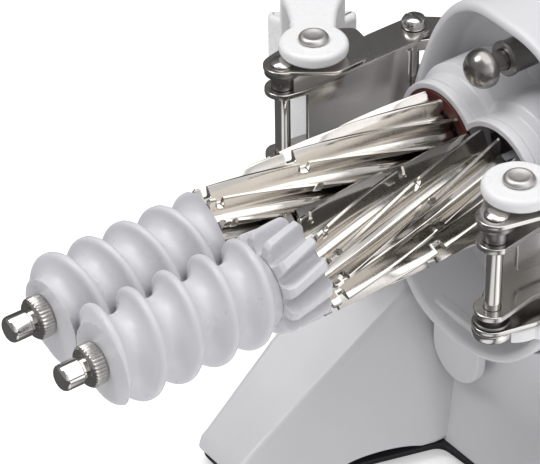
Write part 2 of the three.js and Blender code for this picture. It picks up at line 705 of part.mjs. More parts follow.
function addHousing() {
  add('base_shell', baseShell(), 'white');
  add('base_plate', basePlate(), 'dark');
  add('foot_front_left', foot(-60, 143), 'rubber');
  add('foot_front_right', foot(62, 252), 'rubber');
  add('foot_rear_left', foot(-62, 422), 'rubber');
  add('foot_rear_right', foot(62, 422), 'rubber');
  add('front_cup', frontCup(), 'white');
  add('barrel_shell', barrelShell(), 'white');
  add('rear_cover', rearCover(), 'white');
  add('carry_handle', carryHandle(), 'white');
  add('gear_seal', gearSeal(), 'seal');
  add('locking_stud', lockingStud(), 'polished');
  add('stud_collar', studCollar(), 'polished');
  add('power_inlet', powerInlet(), 'dark');
  add('switch_bezel', switchBezel(), 'dark');
  add('switch_rocker', switchRocker(), 'rubber');
}

function addDrive() {
  add('gearbox_case', gearboxCase(), 'dark');
  add('gearbox_cover', gearboxCover(), 'dark');
  add('idler_gear', idlerGear(), 'steel');
  add('idler_shaft', rodY(4, 293.5, 332.5, IDLER.x, IDLER.z, 16), 'steel');
  add('motor_stator', motorStator(), 'dark');
  add('motor_rotor', motorRotor(), 'steel');
  add('cooling_fan', coolingFan(), 'dark');
}

function addGearTrain(side, name) {
  const x = side * AXIS_X;
  const y0 = side > 0 ? RIGHT_STEEL_Y : LEFT_STEEL_Y;
  const socket = rodY(SHAFT_R - 1 + GAP, 224, GEAR_REAR_Y + 1, x, 0, 16);
  add(`${name}_tip_pin`, tipPin(side), 'polished');
  add(`${name}_bushing`, bushing(side), 'steel');
  add(`${name}_screw`, screw(side, SCREW_END_Y), 'screw');
  add(`${name}_press_gear`, cut(pressGear(GEAR, side, y0, GEAR_REAR_Y, GROOVES[name], 11), socket), 'steel');
  add(`${name}_output_shaft`, outputShaft(side), 'steel');
  add(`${name}_bearing`, ringY(SHAFT_R + GAP, 14, 287, 293, x, 0, 20), 'steel');
  add(`${name}_drive_gear`, driveGear(side), 'steel');
}

function addLatch(side, name) {
  const part = (piece, geometry, finish) => add(`${name}_${piece}`, mirrored(geometry, side), finish);
  part('latch_bracket', latchBracket(), 'steel');
  part('hinge_pin', hingePin(), 'polished');
  part('latch_arm', latchArm(), 'steel');
  part('pivot_pin', pivotPin(), 'polished');
  part('upper_spacer', spacer(20.3, 30.2), 'dark');
  part('lower_spacer', spacer(-24.7, -20.3), 'dark');
  part('upper_link_plate', linkPlate(30.5, 32.6), 'steel');
  part('lower_link_plate', linkPlate(-27.2, -25), 'steel');
  part('lever', lever(), 'lever');
  part('lever_rivet', leverRivet(), 'polished');
}

addHousing();
addDrive();
for (const [side, name] of [[-1, 'left'], [1, 'right']]) {
  addGearTrain(side, name);
  addLatch(side, name);
}
const whiteGear = { ...GEAR, ...WHITE_TOOTH };
add('white_mesh_gear', pressGear(whiteGear, 1, WHITE_GEAR_Y, RIGHT_STEEL_Y - GAP, [], 3), 'screw');

const extent = new THREE.Box3().setFromObject(model);
const middle = extent.getCenter(new THREE.Vector3());
model.position.set(-middle.x, -middle.y, -extent.min.z);

export default model;
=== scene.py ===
import math

import bmesh
import bpy
from mathutils import Matrix, Vector


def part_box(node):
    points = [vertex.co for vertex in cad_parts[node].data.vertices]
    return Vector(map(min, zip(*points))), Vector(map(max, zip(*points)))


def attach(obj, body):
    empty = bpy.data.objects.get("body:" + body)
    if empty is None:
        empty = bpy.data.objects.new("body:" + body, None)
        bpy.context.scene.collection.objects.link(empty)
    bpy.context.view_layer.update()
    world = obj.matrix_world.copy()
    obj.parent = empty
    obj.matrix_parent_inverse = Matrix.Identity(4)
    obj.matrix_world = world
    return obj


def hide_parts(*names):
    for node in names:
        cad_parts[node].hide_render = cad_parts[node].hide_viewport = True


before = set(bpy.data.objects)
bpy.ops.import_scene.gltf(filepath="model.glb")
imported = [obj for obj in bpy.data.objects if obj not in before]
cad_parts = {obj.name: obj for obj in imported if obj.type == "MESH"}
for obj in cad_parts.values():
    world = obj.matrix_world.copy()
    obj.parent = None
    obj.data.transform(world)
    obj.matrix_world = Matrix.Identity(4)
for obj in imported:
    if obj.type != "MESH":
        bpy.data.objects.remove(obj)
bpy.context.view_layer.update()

# Lengths in this file are millimetres in the drive's own frame, as in the CAD source: the gear
# axes lie in the plane z = 0, the gear tips are at y = 0 and +y is rearwards.
MM = 0.001
pin_low, pin_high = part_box("left_tip_pin")
ORIGIN = Vector((0.0, pin_low.y, (pin_low.z + pin_high.z) / 2))
GAP = 0.3
DEG = math.pi / 180
SIDES = ((-1, "left"), (1, "right"))

# gears and screws. Where a value differs by side, 1 is the right and -1 the left. TWIST is in degrees
# per millimetre, PHASE in degrees at PHASE_Y, and FLIGHT_FACING is the place of one crest of each
# screw's flight on the side that faces the other screw.
AXIS_X = 20.2
TEETH = 12
TIP_R = 24.0
TWIST = 0.70
PHASE_Y = 115.0
PHASE = {1: 2.0, -1: 13.0}
WHITE_FRONT = 104.0
STEEL_FRONT = {1: 127.0, -1: WHITE_FRONT}
GEAR_REAR = 236.0
GROOVE_R = 19.4
GROOVES = {1: [(131.0, 134.4), (184.0, 188.5)], -1: [(107.2, 110.6), (152.5, 157.0)]}
CORE_R = 15.6
PITCH = 18.5
SCREW_FRONT, SCREW_REAR = 19.2, 103.7
FLIGHT_FACING = {1: 27.6, -1: 36.85}

# housing. The cup and the body are ovals with half sizes A and B and exponent N, centred at OVAL_Z.
OVAL_Z, OVAL_A, OVAL_B, OVAL_N = -20.5, 64.0, 87.0, 2.55
RIM_Y, RIM_LEAN, HOOD = 257.0, 0.22, 15.0
CUP_FLOOR, CUP_REAR = 278.0, 282.0
COLLAR_R, COLLAR_FRONT, COLLAR_ROOM_R = 28, 237, 24.9
COLLAR_FLOOR = {1: 238.4, -1: 249}
STUD_Z = 46
LUG_X, LUG_Z, LUG_R, LUG_TOP = -6.0, -121, 17, -98
LUG_FRONT, LUG_REAR = 240, 246
BARREL_FRONT, BARREL_REAR, COVER_END, BARREL_GROW = 282.3, 430.0, 446.0, 2.0
BASE_BOTTOM = -170.7
BASE_WALL = 4
WING_FRONT, WING_REAR = 131, 291
TABLE = -178.0
INLET, INLET_HALF, INLET_FACE = (-40, -123), (15, 12), 433.5
SWITCH, SWITCH_HALF, SWITCH_FACE = (330, -119), (11.5, 10), 70

# latches, on the right; the left one is its mirror image. Axes are upright and given as x and y.
HINGE = (80.0, 271.0)
PIVOT = (76.2, 188.2)
RIVET = (72.3, 203.8)
LEVER_DIR = (0.8, 0.6)
PIVOT_HOLE_R, RIVET_HOLE_R, HINGE_HOLE_R = 4.1, 3.8, 3.3
BRACKET_TOP, BRACKET_BOTTOM = 16.6, 10.5


def row(point):
    return ORIGIN + Vector(point) * MM


# ---------- meshes ----------
def mesh_object(name, verts, faces, smooth_angle=35):
    data = bpy.data.meshes.new(name)
    data.from_pydata([row(v) for v in verts], [], faces)
    bm = bmesh.new()
    bm.from_mesh(data)
    bmesh.ops.remove_doubles(bm, verts=bm.verts, dist=1e-6)
    bmesh.ops.recalc_face_normals(bm, faces=bm.faces)
    bm.to_mesh(data)
    bm.free()
    obj = bpy.data.objects.new(name, data)
    bpy.context.scene.collection.objects.link(obj)
    shade(obj, smooth_angle)
    return obj


def shade(obj, angle=35):
    for polygon in obj.data.polygons:
        polygon.use_smooth = True
    obj.data.set_sharp_from_angle(angle=angle * DEG)


def loft(name, rings, capped=True, closed=False, smooth_angle=35):
    """Skin over rings of equal length. A closed loft joins its last ring to its first."""
    count = len(rings[0])
    verts = [p for ring in rings for p in ring]
    faces = []
    last = len(rings) if closed else len(rings) - 1
    for r in range(last):
        a, b = r * count, (r + 1) % len(rings) * count
        for i in range(count):
            j = (i + 1) % count
            faces.append((a + i, a + j, b + j, b + i))
    if capped and not closed:
        faces.append(tuple(range(count)))
        faces.append(tuple(range((len(rings) - 1) * count, len(rings) * count)))
    return mesh_object(name, verts, faces, smooth_angle)


def lathe(name, profile, x=0.0, other=0.0, axis="Y", steps=72, smooth_angle=35):
    """Turned piece. The profile is pairs of radius and place along the axis; it starts and ends on
    the axis, or closes on itself. x and other place the axis: z for an axis along Y, y for Z."""
    ring_shaped = profile[0] == profile[-1]
    points = profile[:-1] if ring_shaped else profile
    rings = []
    for radius, along in points:
        ring = []
        for i in range(steps):
            c, s = math.cos(2 * math.pi * i / steps), math.sin(2 * math.pi * i / steps)
            ring.append((x + radius * c, along, other + radius * s) if axis == "Y"
                        else (x + radius * c, other + radius * s, along))
        rings.append(ring)
    return loft(name, rings, capped=False, closed=ring_shaped, smooth_angle=smooth_angle)


def fillet(points, radius, steps=4, closed=False):
    """Rounds the corners of a polyline of pairs. radius is one value or one per corner."""
    count = len(points)
    out = []
    for i, p in enumerate(points):
        r = radius[i] if isinstance(radius, (list, tuple)) else radius
        if r <= 0 or (not closed and i in (0, count - 1)):
            out.append(tuple(p))
            continue
        p = Vector(p)
        a, b = Vector(points[i - 1]) - p, Vector(points[(i + 1) % count]) - p
        angle = a.angle(b, math.pi)
        if angle > math.pi - 0.02:
            out.append(tuple(p))
            continue
        reach = min(r / math.tan(angle / 2), a.length * 0.48, b.length * 0.48)
        start, end = p + a.normalized() * reach, p + b.normalized() * reach
        for k in range(steps + 1):
            t = k / steps
            out.append(tuple(start * (1 - t) ** 2 + p * 2 * t * (1 - t) + end * t ** 2))
    return out


def arc(cx, cy, radius, start, end, steps=24):
    return [(cx + radius * math.cos((start + (end - start) * i / steps) * DEG),
             cy + radius * math.sin((start + (end - start) * i / steps) * DEG))
            for i in range(steps + 1)]


def inset(outline, distance):
    """Moves a closed outline inwards along its corners' normals."""
    area = sum(a[0] * b[1] - b[0] * a[1] for a, b in zip(outline, outline[1:] + outline[:1]))
    turn = 1 if area > 0 else -1
    out = []
    for i, p in enumerate(outline):
        a, b = Vector(outline[i - 1]), Vector(outline[(i + 1) % len(outline)])
        before, after = (Vector(p) - a).normalized(), (b - Vector(p)).normalized()
        n1, n2 = Vector((-before.y, before.x)) * turn, Vector((-after.y, after.x)) * turn
        n = n1 + n2
        scale = distance * 2 / max(n.length_squared, 0.6)
        out.append((p[0] + n.x * scale, p[1] + n.y * scale))
    return out


def plate(name, outline, low, high, edge=0.3, plane="XY", steps=3):
    """Sheet of an outline with rounded edges, between two places along the third axis."""
    place = {"XY": lambda u, v, w: (u, v, w), "XZ": lambda u, v, w: (u, w, v),
             "YZ": lambda u, v, w: (w, u, v)}[plane]
    rings = []
    for side, from_end in ((low, 1), (high, -1)):
        levels = []
        for k in range(steps + 1):
            a = math.pi / 2 * k / steps
            levels.append((edge * (1 - math.sin(a)), side + from_end * edge * (1 - math.cos(a))))
        levels = levels if from_end > 0 else levels[::-1]
        rings += [[place(u, v, w) for u, v in inset(outline, d)] for d, w in levels]
    return loft(name, rings)


def remove(*objects):
    for o in objects:
        bpy.data.objects.remove(o)


def combine(obj, tool, operation="DIFFERENCE", smooth_angle=35):
    """Boolean of two objects; the tool is used up."""
    modifier = obj.modifiers.new("cut", "BOOLEAN")
    modifier.operation = operation
    modifier.solver = "EXACT"
    modifier.object = tool
    bake(obj)
    remove(tool)
    shade(obj, smooth_angle)
    return obj


def bake(obj):
    """Applies an object's modifiers to its mesh."""
    graph = bpy.context.evaluated_depsgraph_get()
    graph.update()
    data = bpy.data.meshes.new_from_object(obj.evaluated_get(graph))
    obj.modifiers.clear()
    obj.data = data
    return obj


def bevel(obj, width, segments=3, angle=40):
    modifier = obj.modifiers.new("edge", "BEVEL")
    modifier.width = width * MM
    modifier.segments = segments
    modifier.limit_method = "ANGLE"
    modifier.angle_limit = angle * DEG
    bake(obj)
    shade(obj)
    return obj


def box(name, x0, x1, y0, y1, z0, z1, edge=0.3, plane="XY"):
    (u0, u1, v0, v1, w0, w1) = {"XY": (x0, x1, y0, y1, z0, z1), "XZ": (x0, x1, z0, z1, y0, y1),
                                "YZ": (y0, y1, z0, z1, x0, x1)}[plane]
    return plate(name, [(u0, v0), (u1, v0), (u1, v1), (u0, v1)], w0, w1, edge, plane)


def cylinder(name, radius, low, high, x, other, axis="Y", steps=72):
    return lathe(name, [(0, low), (radius, low), (radius, high), (0, high)], x, other, axis, steps)


def mirror_x(obj):
    """Reflects an object to the other side of the drive's middle plane."""
    obj.data.transform(Matrix.Diagonal((-1, 1, 1, 1)))
    obj.data.flip_normals()
    return obj


# ---------- materials ----------
class Nodes:
    """A material's node tree, with short calls for the nodes used here."""

    def __init__(self, name):
        self.material = bpy.data.materials.new(name)
        self.material.use_nodes = True
        self.tree = self.material.node_tree
        self.shader = self.tree.nodes["Principled BSDF"]
        coords = self.tree.nodes.new("ShaderNodeTexCoord")
        self.place = coords.outputs["Object"]

    def link(self, value, socket):
        """Feeds a socket from another one, or sets its own value."""
        if isinstance(value, bpy.types.NodeSocket):
            self.tree.links.new(value, socket)
        else:
            socket.default_value = value

    def scaled(self, stretch):
        mapping = self.tree.nodes.new("ShaderNodeMapping")
        mapping.inputs["Scale"].default_value = stretch
        self.link(self.place, mapping.inputs["Vector"])
        return mapping.outputs["Vector"]

    def noise(self, scale, detail=4.0, stretch=None, roughness=0.55):
        node = self.tree.nodes.new("ShaderNodeTexNoise")
        node.inputs["Scale"].default_value = scale
        node.inputs["Detail"].default_value = detail
        node.inputs["Roughness"].default_value = roughness
        self.link(self.scaled(stretch) if stretch else self.place, node.inputs["Vector"])
        return node.outputs["Fac"]

    def spread(self, value, low, high, source_low=0.3, source_high=0.7):
        node = self.tree.nodes.new("ShaderNodeMapRange")
        for socket, v in (("From Min", source_low), ("From Max", source_high),
                          ("To Min", low), ("To Max", high)):
            node.inputs[socket].default_value = v
        self.link(value, node.inputs["Value"])
        return node.outputs["Result"]

    def mix(self, amount, first, second):
        node = self.tree.nodes.new("ShaderNodeMix")
        node.data_type = "RGBA"
        self.link(amount, node.inputs["Factor"])
        self.link(first, node.inputs["A"])
        self.link(second, node.inputs["B"])
        return node.outputs["Result"]

    def bump(self, height, distance, strength):
        node = self.tree.nodes.new("ShaderNodeBump")
        node.inputs["Distance"].default_value = distance
        node.inputs["Strength"].default_value = strength
        self.link(height, node.inputs["Height"])
        return node.outputs["Normal"]

    def set(self, **sockets):
        names = {"colour": "Base Color", "rough": "Roughness", "metal": "Metallic",
                 "normal": "Normal", "coat": "Coat Weight", "coat_rough": "Coat Roughness",
                 "ior": "IOR", "specular": "Specular IOR Level", "flow": "Anisotropic",
                 "under": "Subsurface Weight", "under_radius": "Subsurface Radius",
                 "under_scale": "Subsurface Scale"}
        for key, value in sockets.items():
            self.link(value, self.shader.inputs[names[key]])
        return self.material


def colour(r, g, b):
    return (r, g, b, 1.0)


def plastic(name, light, dark, rough, grain=0.00003, grain_scale=900.0, coat=0.0, under=0.0):
    """Moulded plastic: a faint tone drift, uneven gloss and a very fine moulded grain."""
    m = Nodes(name)
    drift = m.noise(14.0, 3.0)
    tone = m.mix(m.spread(drift, 0.0, 1.0), dark, light)
    gloss = m.spread(m.noise(60.0, 5.0), rough - 0.05, rough + 0.06)
    normal = m.bump(m.noise(grain_scale, 2.0), grain, 0.6)
    m.set(colour=tone, rough=gloss, normal=normal, coat=coat, coat_rough=0.12, ior=1.49)
    if under:
        m.set(under=under, under_radius=(1.0, 0.95, 0.9), under_scale=0.004)
    return m.material


def metal(name, light, dark, rough, stretch, line_scale, line_depth, spread=0.08):
    """Bare steel with machining or brushing lines drawn out along one direction."""
    m = Nodes(name)
    lines = m.noise(line_scale, 3.0, stretch, 0.7)
    patches = m.noise(35.0, 4.0)
    tone = m.mix(m.spread(patches, 0.0, 1.0), dark, light)
    gloss = m.spread(lines, rough - spread * 0.5, rough + spread)
    normal = m.bump(lines, line_depth, 0.5)
    return m.set(colour=tone, rough=gloss, metal=1.0, normal=normal)


WHITE = plastic("body_white", colour(0.735, 0.73, 0.745), colour(0.70, 0.695, 0.71), 0.33, coat=0.15)
SCREW_WHITE = plastic("screw_white", colour(0.69, 0.685, 0.71), colour(0.665, 0.66, 0.685), 0.30,
                      grain=0.00002, under=0.25)
LEVER_WHITE = plastic("lever_white", colour(0.87, 0.87, 0.87), colour(0.86, 0.86, 0.865), 0.28, under=0.1)
# The seal's red is set darker than the rubber's own red: painted shade for the gear valleys it sits in.
SEAL_RED_SHADED = plastic("seal_red", colour(0.10, 0.011, 0.006), colour(0.075, 0.008, 0.005), 0.5)
DARK = plastic("dark_plastic", colour(0.022, 0.023, 0.025), colour(0.014, 0.014, 0.016), 0.5, 0.00008)
RUBBER = plastic("foot_rubber", colour(0.018, 0.018, 0.018), colour(0.010, 0.010, 0.010), 0.75,
                 0.0002, 500.0)
GEAR_STEEL = metal("gear_steel", colour(0.60, 0.572, 0.535), colour(0.55, 0.525, 0.49), 0.12,
                   (0.12, 1.0, 0.12), 1100.0, 0.0000015, 0.05)
SHEET_STEEL = metal("sheet_steel", colour(0.62, 0.60, 0.575), colour(0.55, 0.53, 0.505), 0.16,
                    (1.0, 0.05, 1.0), 900.0, 0.000006, 0.06)
PIN_STEEL = metal("pin_steel", colour(0.74, 0.72, 0.69), colour(0.66, 0.64, 0.61), 0.10,
                  (0.05, 0.05, 1.0), 1500.0, 0.000006, 0.05)
TURNED_STEEL = metal("turned_steel", colour(0.66, 0.64, 0.60), colour(0.54, 0.52, 0.49), 0.20,
                     (1.0, 0.2, 1.0), 900.0, 0.00002)
RIVET_STEEL = metal("rivet_steel", colour(0.62, 0.60, 0.575), colour(0.54, 0.52, 0.50), 0.42,
                    (1.0, 1.0, 1.0), 900.0, 0.00002)
SATIN_STEEL = metal("satin_steel", colour(0.36, 0.345, 0.325), colour(0.32, 0.305, 0.29), 0.24,
                    (1.0, 1.0, 1.0), 70.0, 0.0, 0.05)
DARK_STEEL = metal("dark_steel", colour(0.32, 0.31, 0.295), colour(0.26, 0.25, 0.24), 0.30,
                   (1.0, 1.0, 1.0), 200.0, 0.000003)
CAST = metal("motor_metal", colour(0.20, 0.20, 0.21), colour(0.14, 0.14, 0.15), 0.5,
             (1.0, 1.0, 1.0), 300.0, 0.0002)


def finish(obj, body, slot, material, *nodes):
    """Gives a piece its material, its body and the CAD nodes it stands for."""
    obj.data.materials.clear()
    obj.data.materials.append(material)
    modifier = obj.modifiers.new("normals", "WEIGHTED_NORMAL")
    modifier.keep_sharp = True
    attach(obj, body)
    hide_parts(*nodes)
    return obj


# ---------- gear train ----------
# Half a tooth from its crest to its root: pairs of angle in degrees and radius.
TOOTH = ((0.0, 24.0), (1.4, 24.0), (1.9, 23.75), (2.5, 22.9), (3.2, 21.9), (4.1, 20.7), (5.1, 19.4),
         (6.1, 18.1), (7.0, 17.1), (8.1, 16.4), (10.0, 16.05), (13.3, 16.0))
WHITE_TOOTH = ((0.0, 24.0), (4.0, 24.0), (5.0, 23.6), (5.8, 22.6), (6.5, 21.2), (7.1, 19.7),
               (8.0, 18.2), (9.4, 17.0), (11.4, 16.2), (13.3, 16.0))
# Half a screw's flight: pairs of distance along the axis from its crest and radius.
FLIGHT = ((0.0, 24.0), (0.9, 23.9), (1.7, 23.35), (2.25, 22.4), (2.65, 21.2), (3.15, 20.0),
          (3.85, 18.9), (4.65, 17.9), (5.6, 17.0), (6.6, 16.3), (7.8, 15.8))


def gear_ring(tooth, y, phase, limit):
    """Outline of a toothed section, no wider than a limit. Angles run from +Z towards +X."""
    shape = [(-a, r) for a, r in reversed(tooth[1:])] + list(tooth)
    ring = []
    for k in range(TEETH):
        for a, r in shape:
            angle = (phase + 360 * k / TEETH + a) * DEG
            radius = min(r, limit)
            ring.append((radius * math.sin(angle), y, radius * math.cos(angle)))
    return ring


def gear(name, side, tooth, y0, y1, grooves, chamfer, rear_chamfer, step=1.6):
    """Helical gear with rounded grooves cut round its teeth."""
    hand = 1 if side < 0 else -1

    def ring(y, limit=TIP_R):
        turned = gear_ring(tooth, y, PHASE[side] + hand * TWIST * (y - PHASE_Y), limit)
        return y, [(x + side * AXIS_X, yy, z) for x, yy, z in turned]

    rings = []
    count = round((y1 - y0) / step)
    for i in range(count + 1):
        y = y0 + (y1 - y0) * i / count
        in_groove = any(low - GAP < y < high + GAP for low, high in grooves)
        if chamfer < y - y0 < y1 - y0 - rear_chamfer and not in_groove:
            rings.append(ring(y))
    for end, inward, size in ((y0, 1, chamfer), (y1, -1, rear_chamfer)):
        rings += [ring(end, TIP_R - size * 1.2), ring(end + inward * 0.3 * size, TIP_R - size * 0.6),
                  ring(end + inward * size)]
    for low, high in grooves:
        rings += [ring(low), ring(low + 0.1, GROOVE_R + 0.4), ring(low + 0.5, GROOVE_R),
                  ring(high - 0.5, GROOVE_R), ring(high - 0.1, GROOVE_R + 0.4), ring(high)]
    rings.sort(key=lambda item: item[0])
    return loft(name, [points for y, points in rings], smooth_angle=38)


def screw(name, side, y0, y1, steps=96):
    """Core with one rounded flight, cut flat at both ends."""
    hand = 1 if side < 0 else -1
    section = [(-a, r) for a, r in reversed(FLIGHT[1:])] + list(FLIGHT) + [(PITCH / 2, CORE_R)]
    per_turn = len(section)
    facing = 90 if side < 0 else -90
    first = FLIGHT_FACING[side] - PITCH * math.ceil((FLIGHT_FACING[side] - y0) / PITCH + 1.5)
    turns = math.ceil((y1 - first) / PITCH) + 2
    verts, faces = [], []
    for i in range(steps):
        angle = (facing + hand * 360 * i / steps) * DEG
        for j in range(turns * per_turn):
            dy, r = section[j % per_turn]
            y = first + PITCH * (i / steps + j // per_turn) + dy
            verts.append((side * AXIS_X + r * math.sin(angle), y, r * math.cos(angle)))
    rows = turns * per_turn

    def at(i, j):
        return (i % steps) * rows + j + (per_turn if i == steps else 0)

    for i in range(steps):
        top = rows - 1 - (per_turn if i == steps - 1 else 0)
        for j in range(top):
            faces.append((at(i, j), at(i + 1, j), at(i + 1, j + 1), at(i, j + 1)))
    obj = mesh_object(name, verts, faces, 180)
    bm = bmesh.new()
    bm.from_mesh(obj.data)
    for y, normal in ((y0, -1), (y1, 1)):
        cut = bmesh.ops.bisect_plane(bm, geom=bm.verts[:] + bm.edges[:] + bm.faces[:],
                                     plane_co=row((0, y, 0)), plane_no=(0, normal, 0), clear_outer=True)
        edges = [e for e in cut["geom_cut"] if isinstance(e, bmesh.types.BMEdge)]
        bmesh.ops.contextual_create(bm, geom=edges)
    bmesh.ops.recalc_face_normals(bm, faces=bm.faces)
    bm.to_mesh(obj.data)
    bm.free()
    shade(obj, 50)
    return obj


def knurled(name, side):
    """Round nut with straight knurling and a plain chamfered front."""
    teeth, per = 34, 4
    rings = []
    levels = ((11.8, 6.4, 0), (11.8, 7.6, 0), (12.2, 8.4, 0), (12.9, 9.0, 0.1), (13.4, 9.5, 0.55),
              (18.2, 9.5, 0.55), (18.9, 9.2, 0.2), (18.9, 6.4, 0))
    for y, radius, depth in levels:
        ring = []
        for i in range(teeth * per):
            a = 2 * math.pi * i / (teeth * per)
            r = radius - depth * (0, 0.35, 1, 0.35)[i % per]
            ring.append((side * AXIS_X + r * math.sin(a), y, r * math.cos(a)))
        rings.append(ring)
    return loft(name, rings, smooth_angle=28)


def build_gear_train(side, label):
    body = label + "_gear"
    x = side * AXIS_X
    turned = [(0, 0.35), (2.6, 0.3), (4.1, 0.05), (4.7, 0.2), (5.35, 0.7), (5.8, 1.4), (6, 2.3),
              (6, 9.2), (5.8, 9.6), (5.1, 9.8), (5.1, 11.8), (0, 11.8)]
    pin = lathe(label + "_tip_pin_turned", turned, x, 0, steps=64, smooth_angle=50)
    finish(pin, body, "pin_steel", PIN_STEEL, label + "_tip_pin")
    finish(knurled(label + "_knurled_nut", side), body, "gear_steel", TURNED_STEEL, label + "_bushing")
    flights = screw(label + "_feed_screw", side, SCREW_FRONT, SCREW_REAR)
    finish(flights, body, "screw_white", SCREW_WHITE, label + "_screw")
    steel = gear(label + "_steel_gear", side, TOOTH, STEEL_FRONT[side], GEAR_REAR, GROOVES[side],
                 0.7, 0.25)
    finish(steel, body, "gear_steel", GEAR_STEEL, label + "_press_gear")


def build_white_gear():
    rear = STEEL_FRONT[1] - GAP
    white = gear("white_feed_gear", 1, WHITE_TOOTH, WHITE_FRONT, rear, [], 2.2, 2.2, 1.2)
    finish(white, "right_gear", "screw_white", SCREW_WHITE, "white_mesh_gear")


# ---------- housing ----------
def oval(grow, y_at, sides=128):
    """Ring round the housing's oval, grown by a distance; y_at gives each point's y from its x and z."""
    ring = []
    for i in range(sides):
        c, s = math.cos(2 * math.pi * i / sides), math.sin(2 * math.pi * i / sides)
        x = (OVAL_A + grow) * math.copysign(abs(c) ** (2 / OVAL_N), c)
        z = OVAL_Z + (OVAL_B + grow) * math.copysign(abs(s) ** (2 / OVAL_N), s)
        ring.append((x, y_at(x, z), z))
    return ring


def smooth(value, low, high):
    """Eases from 0 to 1 as a value goes from low to high."""
    t = min(max((value - low) / (high - low), 0), 1)
    return t * t * (3 - 2 * t)


def rim_y(x, z):
    """The rim leans back, and a hood on the right of its top comes forward."""
    return RIM_Y + RIM_LEAN * z - HOOD * smooth(x, -80, 5) * smooth(z, -5, 50)


def rim(offset):
    return lambda x, z: rim_y(x, z) + offset


def flat(y):
    return lambda x, z: y


def between(share):
    """A level part of the way from the rim to the flat floor."""
    return lambda x, z: rim_y(x, z) * (1 - share) + CUP_FLOOR * share


def lug_outline(grow):
    """Rounded tongue below the cup, larger all round by a distance."""
    half = LUG_R + grow
    return [(LUG_X + half, LUG_TOP), (LUG_X - half, LUG_TOP)] + arc(LUG_X, LUG_Z, half, 180, 360, 24)


def build_cup():
    # from the middle of the cup's floor up its inside, over the rim and back to its rear edge
    rings = [oval(-14.0, flat(CUP_FLOOR)), oval(-11.5, flat(CUP_FLOOR - 0.3)),
             oval(-9.0, flat(CUP_FLOOR - 1.4)), oval(-7.2, flat(CUP_FLOOR - 3.4)), oval(-6.3, between(0.5))]
    rings += [oval(grow, rim(offset)) for grow, offset in (
        (-5.2, 3.0), (-4.6, 1.2), (-4.0, 0.4), (-3.2, 0.05), (-2.2, 0), (-1.2, 0.2), (-0.45, 0.8),
        (-0.05, 1.8), (0, 3.4))]
    rings += [oval(0, flat(CUP_REAR - 0.6)), oval(-0.6, flat(CUP_REAR))]
    cup = loft("front_cup_shell", rings, smooth_angle=40)
    collar = [(0, COLLAR_FRONT - 0.01), (COLLAR_R, COLLAR_FRONT), (COLLAR_R, 240.6), (27.2, 241),
              (27.2, 241.8), (COLLAR_R, 242.2), (COLLAR_R, 249.6), (32, 252.6), (32, 281), (0, 281)]
    collar = fillet(collar, [0, 1.1, 0.2, 0.1, 0.1, 0.2, 1.6, 2.0, 0, 0], 4)
    pieces = [lathe("collar", collar, side * AXIS_X, 0, steps=96) for side, _ in SIDES]
    pieces.append(plate("lug", lug_outline(0), LUG_FRONT, LUG_REAR, 1.2, "XZ"))
    for piece in pieces:
        combine(cup, piece, "UNION")
    pieces = [cylinder("hole", 9.4, 260, 290, 0, STUD_Z, steps=48)]
    for side, _ in SIDES:
        floor = COLLAR_FLOOR[side]
        bore = [(0, 235), (25.1, 235), (25.1, COLLAR_FRONT), (COLLAR_ROOM_R, 237.3), (COLLAR_ROOM_R, floor),
                (0, floor)]
        pieces.append(lathe("bore", bore, side * AXIS_X, 0, steps=96))
        pieces.append(cylinder("shaft", 8.3, 230, 290, side * AXIS_X, 0, steps=48))
    pieces.append(cylinder("dimple", 2.1, 270, CUP_FLOOR + 0.8, -20, 49, steps=32))
    for piece in pieces:
        combine(cup, piece)
    finish(cup, "housing", "body_white", WHITE, "front_cup")


def build_seal():
    ring = [(18, 236.6), (18.6, 236.3), (24.1, 236.3), (24.6, 236.8), (24.6, 240), (18, 240), (18, 236.6)]
    finish(lathe("gear_gasket", ring, -AXIS_X, 0, steps=96), "housing", "seal_red", SEAL_RED_SHADED, "gear_seal")


def build_stud():
    head = [(0, 237.0), (2.8, 237.2), (5.0, 237.8), (6.9, 239.0), (8.4, 240.9), (9.2, 242.6), (9.5, 244.2),
            (9.5, 246.4), (9.2, 247.2), (8.4, 247.7), (5.6, 247.9), (5.0, 248.5), (5.0, 286.5), (0, 286.5)]
    stud = lathe("stud_turned", head, 0, STUD_Z, smooth_angle=50)
    finish(stud, "housing", "pin_steel", SATIN_STEEL, "locking_stud")
    sleeve = [(5.3, 257.2), (7.6, 257), (8.6, 257.8), (8.7, 259.2), (8.1, 259.9), (8.1, 277.7),
              (5.3, 277.7), (5.3, 257.2)]
    collar = lathe("stud_collar_turned", sleeve, 0, STUD_Z)
    finish(collar, "housing", "pin_steel", DARK_STEEL, "stud_collar")


def build_barrel():
    grow, wall = BARREL_GROW, 3.5
    front, rear = BARREL_FRONT, BARREL_REAR
    rings = [oval(offset, flat(y)) for offset, y in (
        (grow - 0.5, front), (grow, front + 0.5), (grow, rear - 0.5), (grow - 0.5, rear),
        (grow - wall, rear), (grow - wall, front))]
    shell = loft("barrel_sleeve", rings, closed=True)
    finish(shell, "housing", "body_white", WHITE, "barrel_shell")


